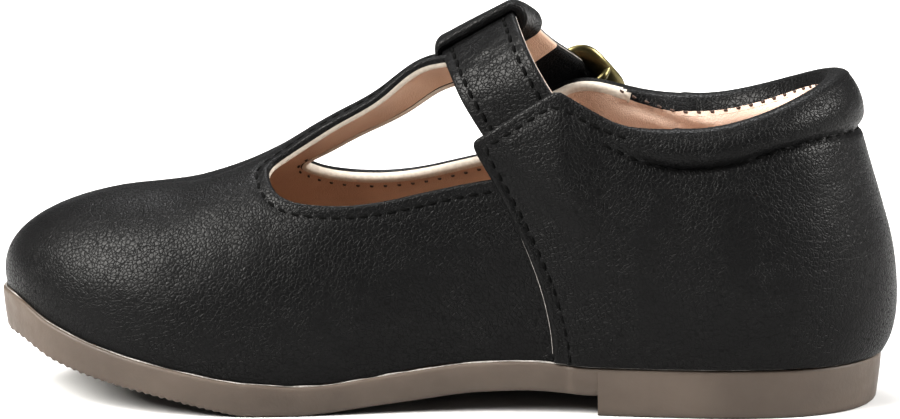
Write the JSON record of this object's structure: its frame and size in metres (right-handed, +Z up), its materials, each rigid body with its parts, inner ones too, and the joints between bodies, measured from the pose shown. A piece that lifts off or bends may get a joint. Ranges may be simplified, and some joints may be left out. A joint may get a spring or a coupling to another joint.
{
  "type": "mary jane shoe",
  "caption": "Toddler's flat T-bar mary jane, right foot: hollow leather upper with padded collar, ankle strap with frame buckle, moulded rubber sole with low heel.",
  "frame": {"origin": "on the floor, under the middle of the shoe's box", "axes": "+X from heel to toe, +Y to the inner side of the foot, +Z up"},
  "size_m": [0.165, 0.0648, 0.0725],
  "materials": {
    "sole_rubber": "smooth moulded rubber, satin",
    "lining": "matt pigskin-look lining",
    "upper_leather": "pebbled black leather, satin",
    "strap_leather": "pebbled black leather, satin",
    "buckle_metal": "antique brass, satin"
  },
  "bodies": {
    "root": {"outsole": "sole_rubber", "insole": "lining", "upper": "upper_leather", "strap": "strap_leather", "buckle_frame": "buckle_metal", "buckle_prong": "buckle_metal", "buckle_tab": "upper_leather"}
  },
  "joints": []
}
